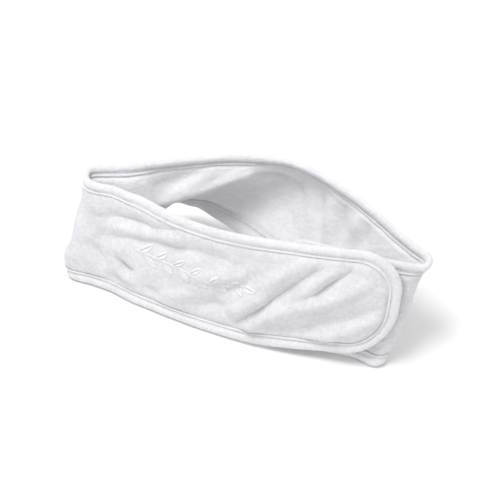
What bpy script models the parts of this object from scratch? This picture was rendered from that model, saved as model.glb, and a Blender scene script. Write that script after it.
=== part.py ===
"""Spa headband: one padded towelling strip, closed into a loop by a hook-and-loop tab.

The strip stands on its lower edge. It runs from the rounded tab along the front to the
left fold, back along the rear to the right fold, and then behind the front, where its
plain end takes the tab. Each stretch has an outer panel, a lining, a bound hem along
its edges and a row of topstitching. Lengths in this script are millimetres along and
across the strip; objects are built in metres, +Z up, with the front facing -Y.
"""

import math

import bmesh
import bpy
import numpy as np
from mathutils import Vector

MM = 0.001

# Driving dimensions of the strip, in mm.
STRIP_WIDTH = 88.0
PANEL_THICKNESS = 1.6
PANEL_OFFSET = 1.0          # from the strip's middle surface to the middle of a panel
HEM_WIDTH = 9.0
HEM_THICKNESS = 5.0
HEM_ROUNDING = 1.9
CLEARANCE = 0.35            # left between layers
HEM_GAP = 1.1               # left between a panel's edge and its hem
CUT_GAP = 2.4               # left between two stretches
TAB_CORNER = 38.0
TUCKED_CORNER = 16.0
TAB_LENGTH = 58.0           # from the tab's end to the line it peels about
FOLD_RADIUS = 6.0
THREAD = 0.8
PATCH_INSET = 20.0          # from the strip's edges to a hook or loop patch
HOOK_LENGTH = 30.0
HOOK_THICKNESS = 1.3
LOOP_LENGTH = 66.0
LOOP_THICKNESS = 1.0
MOTIF_THICKNESS = 0.7

# How finely the curved sheets are divided, in mm and points.
WALL_STEP = 9.0
FOLD_STEP = 2.2
FOLD_REACH = 13.0
CUT_STEP = 0.4
CORNER_POINTS = 6
PANEL_ROWS = 7
HALF_WIDTH = STRIP_WIDTH / 2

# The middle of the object's base, in the frame of the guide lines below.
BASE_CENTRE = Vector((132.8, 39.9, -1.08))

# Three guide lines of the strip: its lower edge, its middle and its upper edge. Their
# frame has its origin at the foot of the left fold, and +X to the foot of the right one.
LOWER_EDGE = {
    "front": [(254, -2, 15), (230, -7, 11), (206, -10, 8), (176, -14, 4), (146, -16, 1),
              (105, -14, 0), (64, -9, 0), (22, -4, 0)],
    "left fold": (0, 0, 0),
    "rear": [(22, 39, 4), (40, 71, 12), (51, 86, 16.5), (63, 89, 17), (80, 83, 16),
             (102, 75, 15), (160, 45, 14), (205, 24, 6)],
    "right fold": (245, 0, 0.7),
    "under": [(227, -2, 0.7), (198, -4, 0.5), (157, -7, 0.5)],
}
MIDDLE = {
    "front": [(255, 11, 56), (231, 5, 52), (203, 2, 49), (174, -1, 46), (144, -3, 43),
              (105, -4, 42), (62, 1, 42), (24, 10, 42)],
    "left fold": (-2, 14, 43),
    "rear": [(28, 29, 46), (58, 54, 49), (80, 74, 51), (103, 92, 53), (132, 95, 51),
             (179, 71, 47), (222, 45, 43)],
    "right fold": (257, 19, 39),
    "under": [(226, 10, 41), (195, 8, 41.5), (157, 6, 42)],
}
UPPER_EDGE = {
    "front": [(256, 25, 97), (225, 18, 93), (197, 14, 90), (158, 11, 86), (128, 9, 84),
              (104, 8.5, 84), (77, 12, 84), (27, 26, 84)],
    "left fold": (-1, 29, 84.5),
    "rear": [(40, 52, 87.5), (73, 69, 88.5), (100, 81, 89), (146, 86, 91), (199, 72, 88.5),
             (252, 48, 82)],
    "right fold": (268, 39, 77.5),
    "under": [(224, 25, 82), (190, 22.5, 83), (157, 20, 84)],
}

# Colour and roughness of each kind of piece.
TERRY = ((0.86, 0.86, 0.88), 0.95)
LINING = ((0.82, 0.82, 0.84), 0.95)
BINDING = ((0.84, 0.84, 0.87), 0.9)
COTTON_THREAD = ((0.80, 0.80, 0.83), 0.6)
HOOK_TAPE = ((0.72, 0.72, 0.74), 0.7)
LOOP_TAPE = ((0.78, 0.78, 0.80), 0.9)
SATIN_THREAD = ((0.74, 0.74, 0.78), 0.45)


# ---- the strip's middle surface -------------------------------------------------------


def fold_points(before, apex, after):
    """Five points of the arc that joins two walls, with its outermost point at apex."""
    to_before = unit(before - apex)
    to_after = unit(after - apex)
    inward = unit(to_before + to_after)
    sideways = unit(to_before - to_after)
    turn = math.pi / 2 - math.acos(np.dot(inward, to_before))
    centre = apex + FOLD_RADIUS * inward
    return [
        centre + FOLD_RADIUS * (sideways * math.sin(angle) - inward * math.cos(angle))
        for angle in (turn, turn / 2, 0.0, -turn / 2, -turn)
    ]


def unit(vector):
    return vector / np.linalg.norm(vector)


def smooth_line(points, steps):
    """A centripetal Catmull-Rom curve through the points, as closely spaced samples."""
    p = np.array([2 * points[0] - points[1], *points, 2 * points[-1] - points[-2]])
    samples = []
    for i in range(1, len(p) - 2):
        knots = [0.0]
        for j in range(i - 1, i + 2):
            knots.append(knots[-1] + math.sqrt(np.linalg.norm(p[j + 1] - p[j])))
        for u in np.linspace(knots[1], knots[2], steps, endpoint=False):
            a = [blend_points(p[i - 1 + k], p[i + k], knots[k], knots[k + 1], u) for k in range(3)]
            b = [blend_points(a[k], a[k + 1], knots[k], knots[k + 2], u) for k in range(2)]
            samples.append(blend_points(b[0], b[1], knots[1], knots[2], u))
    samples.append(p[-2])
    return np.array(samples)


def blend_points(start, end, knot_start, knot_end, u):
    """The point at knot u on the line from start to end."""
    weight = (u - knot_start) / (knot_end - knot_start)
    return start * (1 - weight) + end * weight


class GuideLine:
    """One guide line by its own length, with the lengths at which its folds lie."""

    def __init__(self, route):
        front, rear, under = (
            [np.array(p, dtype=float) for p in route[name]] for name in ("front", "rear", "under")
        )
        left, right = (np.array(route[name], dtype=float) for name in ("left fold", "right fold"))
        points = front + fold_points(front[-1], left, rear[0])
        left_index = len(points) - 3
        points += rear + fold_points(rear[-1], right, under[0])
        right_index = len(points) - 3
        points += under
        steps = 16
        self.xyz = smooth_line(points, steps)
        pieces = np.linalg.norm(np.diff(self.xyz, axis=0), axis=1)
        self.length = np.concatenate([[0.0], np.cumsum(pieces)])
        self.folds = (self.length[left_index * steps], self.length[right_index * steps])

    def at(self, s):
        """The point at length s, in mm."""
        return np.array([np.interp(s, self.length, self.xyz[:, k]) for k in range(3)])


GUIDES = [GuideLine(route) for route in (LOWER_EDGE, MIDDLE, UPPER_EDGE)]
STRIP_LENGTH = min(guide.length[-1] for guide in GUIDES)


def across(w):
    """Weights of the lower, middle and upper guide lines at w mm above the lower edge."""
    t = w / STRIP_WIDTH
    return 2 * (t - 0.5) * (t - 1), 4 * t * (1 - t), 2 * t * (t - 0.5)


def crease(which, w):
    """How far along the strip fold number `which` lies, w mm above the lower edge."""
    return sum(k * guide.folds[which] for k, guide in zip(across(w), GUIDES))


def middle_point(s, w):
    """The point of the strip's middle surface at s along and w across."""
    return sum(k * guide.at(s) for k, guide in zip(across(w), GUIDES))


def surface_point(s, w, lift=0.0):
    """The point `lift` mm outside the middle surface, in metres in the part's frame."""
    along = middle_point(s + 0.5, w) - middle_point(s - 0.5, w)
    up = middle_point(s, w + 0.5) - middle_point(s, w - 0.5)
    outward = unit(np.cross(up, along))
    return (Vector(middle_point(s, w) + lift * outward) - BASE_CENTRE) * MM


# ---- layouts: grids of (s, w) places on the strip -------------------------------------


def spread(start, end, folds):
    """Lengths from start to end, closely spaced round the folds.

    A narrow first and last step keeps a cut face square to the strip.
    """
    places = [start, start + CUT_STEP]
    while places[-1] < end - CUT_STEP:
        away = min([abs(places[-1] + FOLD_STEP - fold) for fold in folds])
        places.append(places[-1] + (FOLD_STEP if away < FOLD_REACH else WALL_STEP))
    if end - places[-2] < FOLD_STEP / 2:
        del places[-2]
    places[-1] = end - CUT_STEP
    places.append(end)
    return places


def straight_layout(start_of, end_of, w_low, w_high, rows):
    """Columns of places between two cut lines, each given as a function of w."""
    start, end = start_of(HALF_WIDTH), end_of(HALF_WIDTH)
    folds = [crease(which, HALF_WIDTH) for which in (0, 1)]
    fractions = [(s - start) / (end - start) for s in spread(start, end, folds)]
    columns = []
    for f in fractions:
        column = []
        for w in np.linspace(w_low, w_high, rows):
            column.append((start_of(w) * (1 - f) + end_of(w) * f, w))
        columns.append(column)
    return columns


def rounded_layout(end_s, direction, cut_of, corner, inset, rows):
    """Columns from a rounded strip end at end_s, inset from its outline, to a cut line.

    direction is +1 where the strip runs towards larger s from its end, or -1.
    """
    radius = corner - inset
    low, high = inset, STRIP_WIDTH - inset
    columns = []
    for angle in np.linspace(0.0, math.pi / 2, CORNER_POINTS):
        s = end_s + direction * (inset + radius * (1 - math.cos(angle)))
        pull = radius * (1 - math.sin(angle))
        columns.append([(s, w) for w in np.linspace(low + pull, high - pull, rows)])
    start = end_s + direction * corner
    for f in run_fractions(start, cut_of(HALF_WIDTH)):
        columns.append([(start * (1 - f) + cut_of(w) * f, w) for w in np.linspace(low, high, rows)])
    return columns


def run_fractions(start, cut):
    """Where the columns of an end's straight run lie, as fractions of its length."""
    length = abs(cut - start)
    folds = [abs(crease(which, HALF_WIDTH) - start) for which in (0, 1)]
    return [place / length for place in spread(0.0, length, folds)[1:]]


def edge_path(end_s, direction, cut_of, corner, inset):
    """Places along a line inset from a rounded end's outline: up one edge and back."""
    radius = corner - inset
    start = end_s + direction * corner
    fractions = run_fractions(start, cut_of(HALF_WIDTH))
    half_path = []
    for side in (-1, 1):
        w = HALF_WIDTH + side * (HALF_WIDTH - inset)
        run = [(start * (1 - f) + cut_of(w) * f, w) for f in fractions]
        arc = []
        for angle in np.linspace(0.0, math.pi / 2, CORNER_POINTS):
            s = end_s + direction * (inset + radius * (1 - math.cos(angle)))
            arc.append((s, w - side * radius * (1 - math.sin(angle))))
        half_path.append(arc + run)
    return half_path[0][::-1] + half_path[1]


def band_layout(end_s, direction, cut_of, corner, insets):
    """Columns of places across a band that runs round a rounded end's outline."""
    rows = [edge_path(end_s, direction, cut_of, corner, inset) for inset in insets]
    return [list(column) for column in zip(*rows)]


# ---- building objects -----------------------------------------------------------------


def clear_scene():
    for old in list(bpy.data.objects):
        bpy.data.objects.remove(old)


def make_collection(name):
    collection = bpy.data.collections.new(name)
    bpy.context.scene.collection.children.link(collection)
    return collection


def make_material(name, look):
    colour, roughness = look
    material = bpy.data.materials.new(name)
    material.use_nodes = True
    shader = material.node_tree.nodes["Principled BSDF"]
    shader.inputs["Base Color"].default_value = (*colour, 1.0)
    shader.inputs["Roughness"].default_value = roughness
    shader.inputs["Metallic"].default_value = 0.0
    return material


def place_mesh(mesh, name, look, pivot):
    """An object of the mesh, parented to its pivot and given its own material."""
    obj = bpy.data.objects.new(name, mesh)
    PARTS.objects.link(obj)
    if pivot is not None:
        obj.parent = pivot
        mesh.transform(pivot.matrix_world.inverted())
    mesh.materials.append(make_material(name, look))
    mesh.shade_smooth()
    mesh.set_sharp_from_angle(angle=math.radians(50))
    return obj


def thicken(obj, thickness, rounding=0.0):
    solid = obj.modifiers.new("thickness", "SOLIDIFY")
    solid.thickness = thickness * MM
    solid.offset = 0.0
    if rounding:
        bevel = obj.modifiers.new("rounded edge", "BEVEL")
        bevel.width = rounding * MM
        bevel.segments = 2
        bevel.limit_method = "ANGLE"
        bevel.angle_limit = math.radians(55)


def sheet_piece(name, columns, lift, thickness, look, pivot, rounding=0.0):
    """A piece of sheet that follows the strip over a layout of places."""
    mesh = bpy.data.meshes.new(name)
    rows = len(columns[0])
    points = [surface_point(s, w, lift) for column in columns for s, w in column]
    quads = []
    for i in range(len(columns) - 1):
        for j in range(rows - 1):
            corner = i * rows + j
            quads.append((corner, corner + rows, corner + rows + 1, corner + 1))
    mesh.from_pydata(points, [], quads)
    obj = place_mesh(mesh, name, look, pivot)
    thicken(obj, thickness, rounding)
    return obj


def make_pivot(name, point):
    pivot = bpy.data.objects.new(name, None)
    PARTS.objects.link(pivot)
    pivot.location = point
    pivot.empty_display_size = 0.02
    bpy.context.view_layer.update()
    return pivot


# ---- the strip's stretches ------------------------------------------------------------


def panels(prefix, layout_of, pivot):
    """The outer panel and the lining of one stretch."""
    columns = layout_of(HEM_WIDTH + HEM_GAP)
    sheet_piece(prefix + "_outer_panel", columns, PANEL_OFFSET, PANEL_THICKNESS, TERRY, pivot)
    sheet_piece(prefix + "_lining_panel", columns, -PANEL_OFFSET, PANEL_THICKNESS, LINING, pivot)


def edge_binding(name, start_of, end_of, w_low, pivot):
    columns = straight_layout(start_of, end_of, w_low, w_low + HEM_WIDTH, 3)
    sheet_piece(name, columns, 0.0, HEM_THICKNESS, BINDING, pivot, HEM_ROUNDING)


def edge_topstitch(name, start_of, end_of, w, pivot):
    """A row of thread on the outer panel, beside the binding."""
    columns = straight_layout(start_of, end_of, w - THREAD / 2, w + THREAD / 2, 2)
    sheet_piece(name, columns, thread_lift(), THREAD, COTTON_THREAD, pivot)


def thread_lift():
    return PANEL_OFFSET + PANEL_THICKNESS / 2 + CLEARANCE + THREAD / 2


def open_stretch(prefix, start_of, end_of, pivot):
    """A stretch between two cut lines: panels, and a hem and stitching on both edges."""
    panels(prefix, lambda inset: straight_layout(start_of, end_of, inset, STRIP_WIDTH - inset,
                                                  PANEL_ROWS), pivot)
    stitch_inset = HEM_WIDTH + HEM_GAP + THREAD
    edge_binding(prefix + "_lower_binding", start_of, end_of, 0.0, pivot)
    edge_binding(prefix + "_upper_binding", start_of, end_of, STRIP_WIDTH - HEM_WIDTH, pivot)
    edge_topstitch(prefix + "_lower_topstitch", start_of, end_of, stitch_inset, pivot)
    edge_topstitch(prefix + "_upper_topstitch", start_of, end_of, STRIP_WIDTH - stitch_inset, pivot)


def end_stretch(prefix, end_s, direction, cut_of, corner, pivot):
    """A stretch with a rounded end: panels, and one hem and one stitching row round it."""
    panels(prefix, lambda inset: rounded_layout(end_s, direction, cut_of, corner, inset,
                                                 PANEL_ROWS), pivot)
    columns = band_layout(end_s, direction, cut_of, corner, (0.0, HEM_WIDTH / 2, HEM_WIDTH))
    sheet_piece(prefix + "_binding", columns, 0.0, HEM_THICKNESS, BINDING, pivot, HEM_ROUNDING)
    stitch_start = HEM_WIDTH + HEM_GAP + THREAD / 2
    columns = band_layout(end_s, direction, cut_of, corner, (stitch_start, stitch_start + THREAD))
    sheet_piece(prefix + "_topstitch", columns, thread_lift(), THREAD, COTTON_THREAD, pivot)


def fastener_patch(name, start, length, side, thickness, look, pivot):
    """A sewn-on patch of hook or loop tape, on the outer (+1) or inner (-1) side."""
    lift = side * (PANEL_OFFSET + PANEL_THICKNESS / 2 + CLEARANCE + thickness / 2)
    columns = straight_layout(lambda w: start, lambda w: start + length,
                              PATCH_INSET, STRIP_WIDTH - PATCH_INSET, 5)
    sheet_piece(name, columns, lift, thickness, look, pivot)


# ---- the embroidered sprig on the front -----------------------------------------------

MOTIF_LENGTH = 100.0
MOTIF_START = 207.0         # along the strip, at the sprig's foot
MOTIF_HEIGHT = 46.0         # across the strip, at the sprig's foot
STEM_WIDTH = 1.4
LEAF_LENGTH = 12.0
LEAF_WIDTH = 4.6
LEAF_PAIRS = 6
LEAF_ANGLE = math.radians(38)
LEAF_ROOT = 0.8             # half the width of a leaf where it leaves the stem
LEAF_STOPS = (0.2, 0.42, 0.65, 0.85)


def stem_place(x, side=0):
    """A place on the gently waving stem, x mm from its foot: its middle, or one edge."""
    return np.array([x, 1.6 * math.sin(2 * math.pi * x / MOTIF_LENGTH) + side * STEM_WIDTH / 2])


def leaf_rungs(foot, angle, side, length):
    """Pairs of places across one pointed leaf, from near its foot outwards, and its tip."""
    forward = np.array([math.cos(angle), side * math.sin(angle)])
    ahead = np.array([math.sin(angle), -side * math.cos(angle)])
    rungs = []
    for f in LEAF_STOPS:
        half = 0.5 * LEAF_WIDTH * math.sin(math.pi * f ** 0.8) * (length / LEAF_LENGTH)
        middle = foot + forward * length * f
        rungs.append((middle - ahead * half, middle + ahead * half))
    return rungs, foot + forward * length


def add_leaf(bm, roots, rungs, tip, side):
    """Faces of a leaf that grows from two vertices on the stem."""
    last = roots
    for places in rungs:
        rung = [bm.verts.new((*place, 0.0)) for place in places]
        bm.faces.new([last[0], last[1], rung[1], rung[0]][::side])
        last = rung
    bm.faces.new([last[0], last[1], bm.verts.new((*tip, 0.0))][::side])


def sprig(bm):
    """A stem with leaves on alternate sides and one at its tip, lying flat."""
    spacing = (MOTIF_LENGTH - LEAF_LENGTH) / LEAF_PAIRS
    leaves = [(4.0 + k * spacing + shift * spacing, side, LEAF_LENGTH * (1.0 - 0.05 * k))
              for k in range(LEAF_PAIRS) for side, shift in ((1, 0.0), (-1, 0.4))]
    places = sorted([0.0, MOTIF_LENGTH - LEAF_LENGTH]
                    + [x + end * LEAF_ROOT for x, side, length in leaves for end in (-1, 1)])
    stem = {x: [bm.verts.new((*stem_place(x, side), 0.0)) for side in (1, -1)] for x in places}
    for x, next_x in zip(places, places[1:]):
        bm.faces.new([stem[x][1], stem[next_x][1], stem[next_x][0], stem[x][0]])
    for x, side, length in leaves:
        roots = [stem[x + end * LEAF_ROOT][side < 0] for end in (-1, 1)]
        rungs, tip = leaf_rungs(stem_place(x, side), LEAF_ANGLE, side, length)
        add_leaf(bm, roots, rungs, tip, side)
    rungs, tip = leaf_rungs(stem_place(places[-1]), 0.0, 1, LEAF_LENGTH)
    add_leaf(bm, stem[places[-1]], rungs, tip, 1)


def embroidered_motif(pivot):
    bm = bmesh.new()
    sprig(bm)
    bmesh.ops.triangulate(bm, faces=bm.faces[:])
    lift = PANEL_OFFSET + PANEL_THICKNESS / 2 + CLEARANCE + MOTIF_THICKNESS / 2
    for vertex in bm.verts:
        s = MOTIF_START - vertex.co.x
        vertex.co = surface_point(s, MOTIF_HEIGHT + vertex.co.y, lift)
    mesh = bpy.data.meshes.new("embroidered_motif")
    bm.to_mesh(mesh)
    bm.free()
    obj = place_mesh(mesh, "embroidered_motif", SATIN_THREAD, pivot)
    thicken(obj, MOTIF_THICKNESS)


# ---- assembly -------------------------------------------------------------------------


def fold_pivot(name, which):
    """An empty on a fold's axis, just outside the crease at half the strip's width."""
    return make_pivot(name, surface_point(crease(which, HALF_WIDTH), HALF_WIDTH,
                                          HEM_THICKNESS / 2 + CLEARANCE))


def build():
    left = fold_pivot("left_fold_pivot", 0)
    right = fold_pivot("right_fold_pivot", 1)
    peel = make_pivot("tab_pivot", surface_point(TAB_LENGTH, HALF_WIDTH,
                                                 HEM_THICKNESS / 2 + CLEARANCE))
    half_gap = CUT_GAP / 2
    end_stretch("closure_tab", 0.0, 1, lambda w: TAB_LENGTH - half_gap, TAB_CORNER, peel)
    open_stretch("front", lambda w: TAB_LENGTH + half_gap, lambda w: crease(0, w) - half_gap, left)
    open_stretch("rear", lambda w: crease(0, w) + half_gap, lambda w: crease(1, w) - half_gap, None)
    end_stretch("tucked_end", STRIP_LENGTH, -1, lambda w: crease(1, w) + half_gap, TUCKED_CORNER, right)
    fastener_patch("hook_patch", PATCH_INSET, HOOK_LENGTH, -1, HOOK_THICKNESS, HOOK_TAPE, peel)
    loop_start = STRIP_LENGTH - 2 * HEM_WIDTH - LOOP_LENGTH
    fastener_patch("loop_patch", loop_start, LOOP_LENGTH, 1, LOOP_THICKNESS, LOOP_TAPE, right)
    embroidered_motif(left)


clear_scene()
PARTS = make_collection("spa_headband")
build()
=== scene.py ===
"""Looks of the spa headband: towelling strip, bound hems, stitching, tab and sprig.

The strip is one surface, placed by (s, w): millimetres along it from the tab's end, and
millimetres across it from its lower edge. Every sheet, hem and stitch lies on it.
"""

import math

import bpy
import numpy as np
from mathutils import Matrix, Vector


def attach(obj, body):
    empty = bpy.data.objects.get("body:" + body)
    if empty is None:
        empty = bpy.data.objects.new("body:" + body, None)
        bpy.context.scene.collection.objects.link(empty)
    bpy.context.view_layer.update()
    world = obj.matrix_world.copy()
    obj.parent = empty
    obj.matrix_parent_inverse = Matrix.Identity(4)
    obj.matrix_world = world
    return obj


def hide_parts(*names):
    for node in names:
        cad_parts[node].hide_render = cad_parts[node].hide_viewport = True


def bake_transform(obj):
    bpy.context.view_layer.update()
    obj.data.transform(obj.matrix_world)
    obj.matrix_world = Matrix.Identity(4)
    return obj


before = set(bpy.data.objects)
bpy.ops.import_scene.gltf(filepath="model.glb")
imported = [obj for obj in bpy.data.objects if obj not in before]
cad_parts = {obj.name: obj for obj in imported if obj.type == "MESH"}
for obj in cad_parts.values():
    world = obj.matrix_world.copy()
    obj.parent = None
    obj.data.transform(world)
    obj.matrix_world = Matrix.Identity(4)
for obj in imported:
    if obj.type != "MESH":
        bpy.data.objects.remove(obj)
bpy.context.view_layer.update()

MM = 0.001
WIDTH = 88.0
BASE_CENTRE = np.array([132.8, 39.9, -1.08])    # the frame's origin, as the guide lines measure
FOLD_RADIUS = 6.0
TAB_CORNER = 38.0
TUCKED_CORNER = 16.0
CELL = 2.5                  # step of the simulated cloth
SLACK = 0.008               # how much longer the simulated cloth is than its shape
CLOTH_FRAMES = 16
CLOTH_BLUR = 1.2            # how far the simulation's movement is smoothed, in cells
CLOTH_CAP = 2.0             # how far the simulation may move a point
HELD_HEM = (8, 15)          # how far from the outline the cloth is held, and where it is free
HELD_FOLD = (10, 18)        # the same, from a fold
CUT_FRONT = 100.0           # where the strip's pieces meet, on stiff stretches
CUT_REAR = 385.0

# Guide lines of the strip as (x, y, z), from the tab's end round to the tucked end's.
LOWER_EDGE = {
    "front": [(254, -2, 15), (230, -7, 11), (206, -10, 8), (176, -14, 4), (146, -16, 1),
              (105, -14, 0), (64, -9, 0), (22, -4, 0)],
    "left fold": (0, 0, 0),
    "rear": [(22, 39, 4), (40, 71, 12), (51, 86, 16.5), (63, 89, 17), (80, 83, 16),
             (102, 75, 15), (160, 45, 14), (205, 24, 6)],
    "right fold": (245, 0, 0.7),
    "under": [(227, -2, 0.7), (198, -4, 0.5), (157, -7, 0.5)],
}
MIDDLE = {
    "front": [(255, 11, 56), (231, 5, 52), (203, 2, 49), (174, -1, 46), (144, -3, 43),
              (105, -4, 42), (62, 1, 42), (24, 10, 42)],
    "left fold": (-2, 14, 43),
    "rear": [(28, 29, 46), (58, 54, 49), (80, 74, 51), (103, 92, 53), (132, 95, 51),
             (179, 71, 47), (222, 45, 43)],
    "right fold": (257, 19, 39),
    "under": [(226, 10, 41), (195, 8, 41.5), (157, 6, 42)],
}
UPPER_EDGE = {
    "front": [(256, 25, 97), (225, 18, 93), (197, 14, 90), (158, 11, 86), (128, 9, 84),
              (104, 8.5, 84), (77, 12, 84), (27, 26, 84)],
    "left fold": (-1, 29, 84.5),
    "rear": [(40, 52, 87.5), (73, 69, 88.5), (100, 81, 89), (146, 86, 91), (199, 72, 88.5),
             (252, 48, 82)],
    "right fold": (268, 39, 77.5),
    "under": [(224, 25, 82), (190, 22.5, 83), (157, 20, 84)],
}


# ---- the strip's surface --------------------------------------------------------------


def linked(name, data):
    """A new object in the scene."""
    made = bpy.data.objects.new(name, data)
    bpy.context.scene.collection.objects.link(made)
    return made


def unit(v):
    return v / np.maximum(np.linalg.norm(v, axis=-1, keepdims=True), 1e-12)


def fold_points(before, apex, after):
    """Five points of the arc that joins two walls, with its outermost point at apex."""
    to_before, to_after = unit(before - apex), unit(after - apex)
    inward = unit(to_before + to_after)
    sideways = unit(to_before - to_after)
    turn = math.pi / 2 - math.acos(np.dot(inward, to_before))
    centre = apex + FOLD_RADIUS * inward
    return [centre + FOLD_RADIUS * (sideways * math.sin(a) - inward * math.cos(a))
            for a in (turn, turn / 2, 0.0, -turn / 2, -turn)]


def smooth_line(points, steps):
    """A centripetal Catmull-Rom curve through the points."""
    p = np.array([2 * points[0] - points[1], *points, 2 * points[-1] - points[-2]])
    out = []
    for i in range(1, len(p) - 2):
        k = [0.0]
        for j in range(i - 1, i + 2):
            k.append(k[-1] + math.sqrt(np.linalg.norm(p[j + 1] - p[j])))
        u = np.linspace(k[1], k[2], steps, endpoint=False)[:, None]

        def mix(a, b, ka, kb):
            return a + (b - a) * (u - ka) / (kb - ka)
        a = [mix(p[i - 1 + n], p[i + n], k[n], k[n + 1]) for n in range(3)]
        b = [mix(a[n], a[n + 1], k[n], k[n + 2]) for n in range(2)]
        out.append(mix(b[0], b[1], k[1], k[2]))
    out.append(p[-2][None])
    return np.concatenate(out)


def guide(route, steps=24):
    """A guide line's points, its length at each, and the lengths at its two folds."""
    front, rear, under = (
        [np.array(p, dtype=float) for p in route[n]] for n in ("front", "rear", "under"))
    left, right = (np.array(route[n], dtype=float) for n in ("left fold", "right fold"))
    points = front + fold_points(front[-1], left, rear[0])
    left_at = len(points) - 3
    points += rear + fold_points(rear[-1], right, under[0])
    right_at = len(points) - 3
    points += under
    xyz = smooth_line(points, steps)
    length = np.concatenate([[0.0], np.cumsum(np.linalg.norm(np.diff(xyz, axis=0), axis=1))])
    return xyz, length, (length[left_at * steps], length[right_at * steps])


GUIDES = [guide(route) for route in (LOWER_EDGE, MIDDLE, UPPER_EDGE)]
LENGTH = min(g[1][-1] for g in GUIDES)


def across(w):
    t = np.asarray(w) / WIDTH
    return 2 * (t - 0.5) * (t - 1), 4 * t * (1 - t), 2 * t * (t - 0.5)


def crease(which, w):
    return sum(k * g[2][which] for k, g in zip(across(w), GUIDES))


def guide_grid(s, w):
    """Points of the plain surface over a grid of lengths s and widths w."""
    lines = [np.stack([np.interp(s, g[1], g[0][:, k]) for k in range(3)], -1) for g in GUIDES]
    return sum(k[None, :, None] * line[:, None, :] for k, line in zip(across(w), lines))


def cubic(f):
    """Catmull-Rom weights of four neighbours at fraction f, and their slopes."""
    value = np.stack([-0.5 * f + f**2 - 0.5 * f**3, 1 - 2.5 * f**2 + 1.5 * f**3,
                      0.5 * f + 2 * f**2 - 1.5 * f**3, -0.5 * f**2 + 0.5 * f**3], -1)
    slope = np.stack([-0.5 + 2 * f - 1.5 * f**2, -5 * f + 4.5 * f**2,
                      0.5 + 4 * f - 4.5 * f**2, -f + 1.5 * f**2], -1)
    return value, slope


class Strip:
    """The strip's middle surface as a smooth patch over a regular grid of cells."""

    def __init__(self, s, w, points):
        self.s0, self.w0 = s[0], w[0]
        self.ds, self.dw = s[1] - s[0], w[1] - w[0]
        p = np.concatenate([2 * points[:1] - points[1:2], points, 2 * points[-1:] - points[-2:-1]])
        self.p = np.concatenate([2 * p[:, :1] - p[:, 1:2], p, 2 * p[:, -1:] - p[:, -2:-1]], 1)

    def at(self, s, w):
        """Points in mm and unit outward normals at arrays of places."""
        x = (np.asarray(s, float) - self.s0) / self.ds
        y = (np.asarray(w, float) - self.w0) / self.dw
        i = np.clip(np.floor(x).astype(int), 0, self.p.shape[0] - 4)
        j = np.clip(np.floor(y).astype(int), 0, self.p.shape[1] - 4)
        (a, da), (b, db) = cubic(x - i), cubic(y - j)
        place = along = up = 0
        for m in range(4):
            for n in range(4):
                q = self.p[i + m, j + n]
                place = place + (a[..., m] * b[..., n])[..., None] * q
                along = along + (da[..., m] * b[..., n])[..., None] * q
                up = up + (a[..., m] * db[..., n])[..., None] * q
        return place, unit(np.cross(up, along))

    def lifted(self, s, w, lift):
        """Points `lift` mm outside the surface, in metres in the row frame."""
        place, normal = self.at(s, w)
        return (place + normal * np.asarray(lift)[..., None] - BASE_CENTRE) * MM


# ---- unevenness of cloth --------------------------------------------------------------


class Noise:
    """Smooth noise over the strip, from -1 to 1, with bumps `size` mm apart."""

    def __init__(self, seed, size):
        self.size = size
        self.v = np.random.default_rng(seed).uniform(-1, 1, (257, 257))

    def __call__(self, s, w):
        x = np.asarray(s, float) / self.size + 20.3
        y = np.asarray(w, float) / self.size + 40.7
        i, j = np.floor(x).astype(int), np.floor(y).astype(int)
        a, b = cubic(x - i)[0], cubic(y - j)[0]
        total = 0
        for m in range(4):
            for n in range(4):
                total = total + a[..., m] * b[..., n] * self.v[(i + m) % 257, (j + n) % 257]
        return total


def smoothstep(low, high, x):
    t = np.clip((np.asarray(x, float) - low) / (high - low), 0, 1)
    return t * t * (3 - 2 * t)


def between(rise, fall, x):
    """1 from the end of the rise to the start of the fall, and 0 outside both."""
    return smoothstep(*rise, x) * (1 - smoothstep(*fall, x))


def inset(s, w):
    """How far inside the strip's outline a place is, in mm."""
    r = np.where(np.asarray(s) < LENGTH / 2, TAB_CORNER, TUCKED_CORNER)
    qx = np.abs(s - LENGTH / 2) - (LENGTH / 2 - r)
    qy = np.abs(w - WIDTH / 2) - (WIDTH / 2 - r)
    outside = np.hypot(np.maximum(qx, 0), np.maximum(qy, 0))
    return r - outside - np.minimum(np.maximum(qx, qy), 0)


# ---- wrinkles and the cloth simulation ------------------------------------------------


VIEW_RIGHT = np.array([0.932, 0.362, 0.0])
VIEW_DEEP = np.array([-0.362, 0.932, 0.0])

# The rear rolls over: where its ridge lies on the strip, and in space (right, deep, up).
ROLL = [((322, 49), (58.0, 22.0, 51.0)), ((334, 51), (68.8, 23.0, 52.5)),
        ((345, 54), (81.0, 25.0, 56.5)), ((356, 57), (93.2, 27.0, 60.5)),
        ((371, 61), (108.0, 29.0, 65.5)), ((386, 66), (122.8, 31.5, 70.0)),
        ((397, 69), (133.0, 33.5, 73.0)), ((405, 71), (140.6, 35.5, 74.4))]

ROLL_STARTS = (300, 326)    # over which lengths the roll comes up, and goes down again
ROLL_ENDS = (403, 421)
ROLL_BLUR = (4.0, 2.3)      # how far its shape is smoothed, along and across
ROLL_SAG = 2.5              # how far the cloth above the ridge sags backwards
HEM_KEPT = 5                # the roll leaves this much along each edge as it was

LOWER_TUCK = np.array([0.0, 1.5, 5.8])  # how far the lower edge is drawn up under the roll
TUCK_STARTS = (300, 344)
TUCK_ENDS = (352, 371)
TUCK_FADES = (4, 40)        # over which widths the tuck fades out, from the lower edge

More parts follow.
